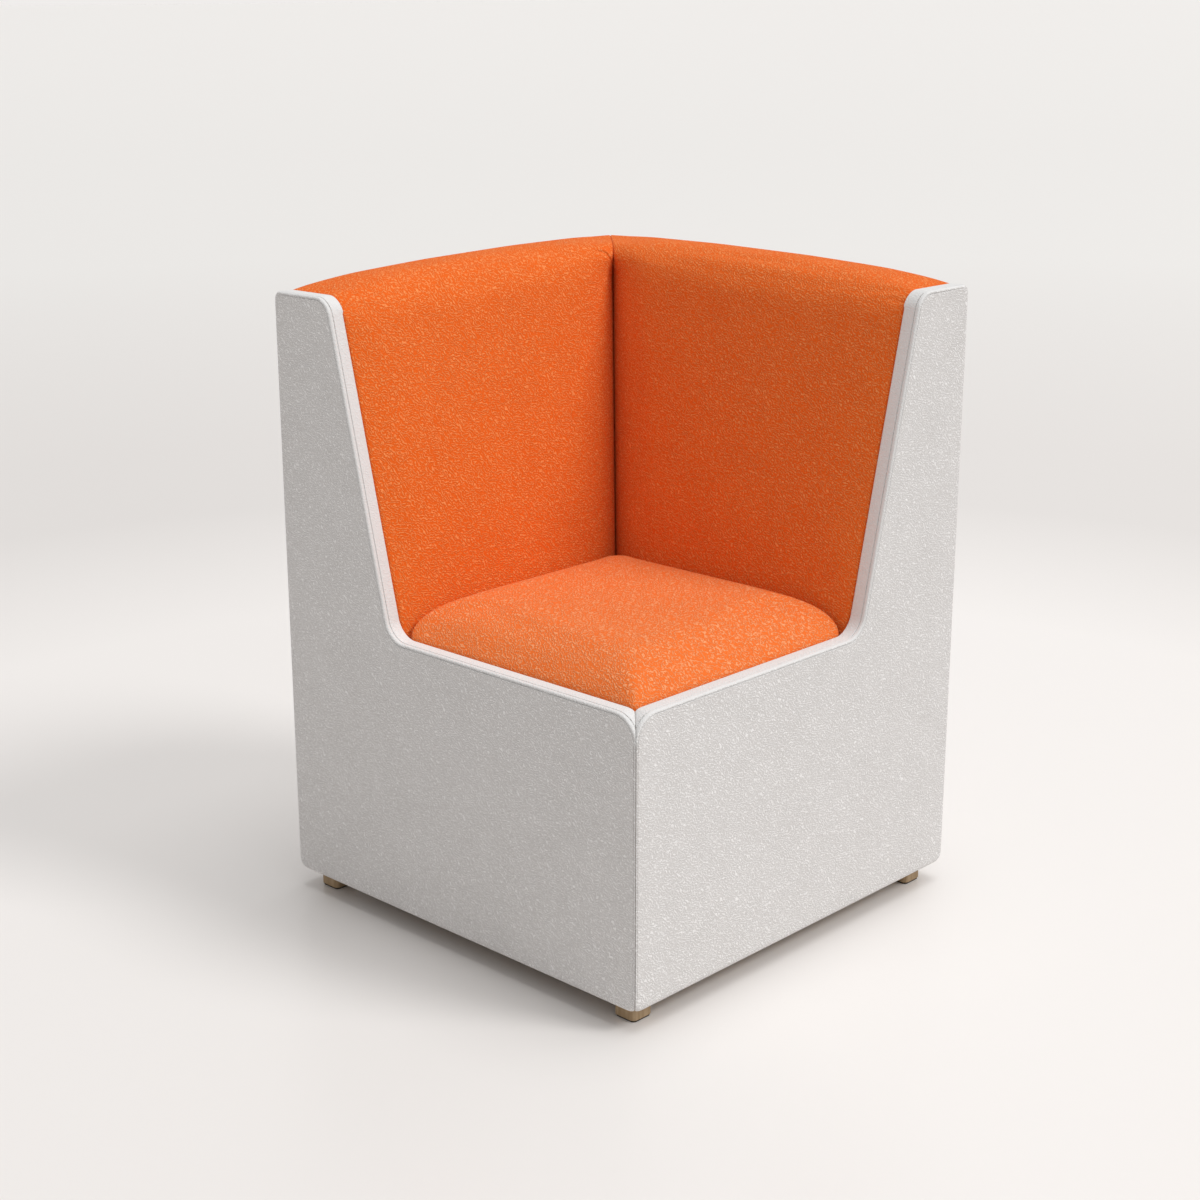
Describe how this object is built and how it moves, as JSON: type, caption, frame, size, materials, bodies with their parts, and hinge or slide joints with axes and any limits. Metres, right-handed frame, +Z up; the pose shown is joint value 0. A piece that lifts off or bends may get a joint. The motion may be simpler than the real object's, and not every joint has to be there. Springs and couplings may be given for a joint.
{
  "type": "corner sofa module",
  "caption": "Square upholstered corner seat module with sloped padded backs on adjoining sides, L-shaped end panels, a drop-in crowned seat and low wooden block feet.",
  "frame": {"origin": "on the floor under the centre of the square footprint", "axes": "+Z up; the back walls stand on -X and +Y; the open end panels face -Y and +X"},
  "size_m": [0.7, 0.7, 0.9362],
  "materials": {
    "grey_fabric": "brushed wool felt, matt",
    "orange_fabric": "brushed wool felt, matt",
    "foam": "open cell foam",
    "wadding": "polyester fibre",
    "dust_cloth": "non-woven, matt",
    "felt": "pressed felt",
    "plywood": "sanded birch plywood",
    "pine": "planed pine",
    "oak": "matt lacquer",
    "zinc_steel": "zinc plated",
    "brass": "turned"
  },
  "bodies": {
    "carcass": {"back_screws": "zinc_steel", "corner_upright": "pine", "deck": "plywood", "deck_screws": "zinc_steel", "dust_cover": "dust_cloth", "foot_screws": "zinc_steel", "front_base_rail": "pine", "front_corner_post": "pine", "front_deck_rail": "pine", "front_panel_board": "plywood", "front_panel_cover": "grey_fabric", "front_panel_wadding": "wadding", "left_back_board": "plywood", "left_back_cover": "orange_fabric", "left_back_foam": "foam", "left_base_rail": "pine", "left_deck_rail": "pine", "left_front_felt": "felt", "left_front_foot": "oak", "left_front_post": "pine", "left_outer_cover": "grey_fabric", "left_outer_panel": "plywood", "left_outer_wadding": "wadding", "left_rear_felt": "felt", "left_rear_foot": "oak", "left_rib_1": "plywood", "left_rib_2": "plywood", "left_top_rail": "pine", "link_inserts": "brass", "panel_screws": "zinc_steel", "rear_back_board": "plywood", "rear_back_cover": "orange_fabric", "rear_back_foam": "foam", "rear_base_rail": "pine", "rear_corner_post": "pine", "rear_deck_rail": "pine", "rear_outer_cover": "grey_fabric", "rear_outer_panel": "plywood", "rear_outer_wadding": "wadding", "rear_rib_1": "plywood", "rear_rib_2": "plywood", "rear_top_rail": "pine", "rib_screws": "zinc_steel", "right_base_rail": "pine", "right_deck_rail": "pine", "right_front_felt": "felt", "right_front_foot": "oak", "right_panel_board": "plywood", "right_panel_cover": "grey_fabric", "right_panel_wadding": "wadding", "right_rear_felt": "felt", "right_rear_foot": "oak", "right_rear_post": "pine"},
    "seat": {"seat_board": "plywood", "seat_cover": "orange_fabric", "seat_foam": "foam", "seat_pegs": "pine"}
  },
  "joints": [
    {"name": "seat_lift", "type": "slide", "parent": "carcass", "child": "seat", "axis": [0, 0, 1], "range_m": [0, 0.2]}
  ]
}
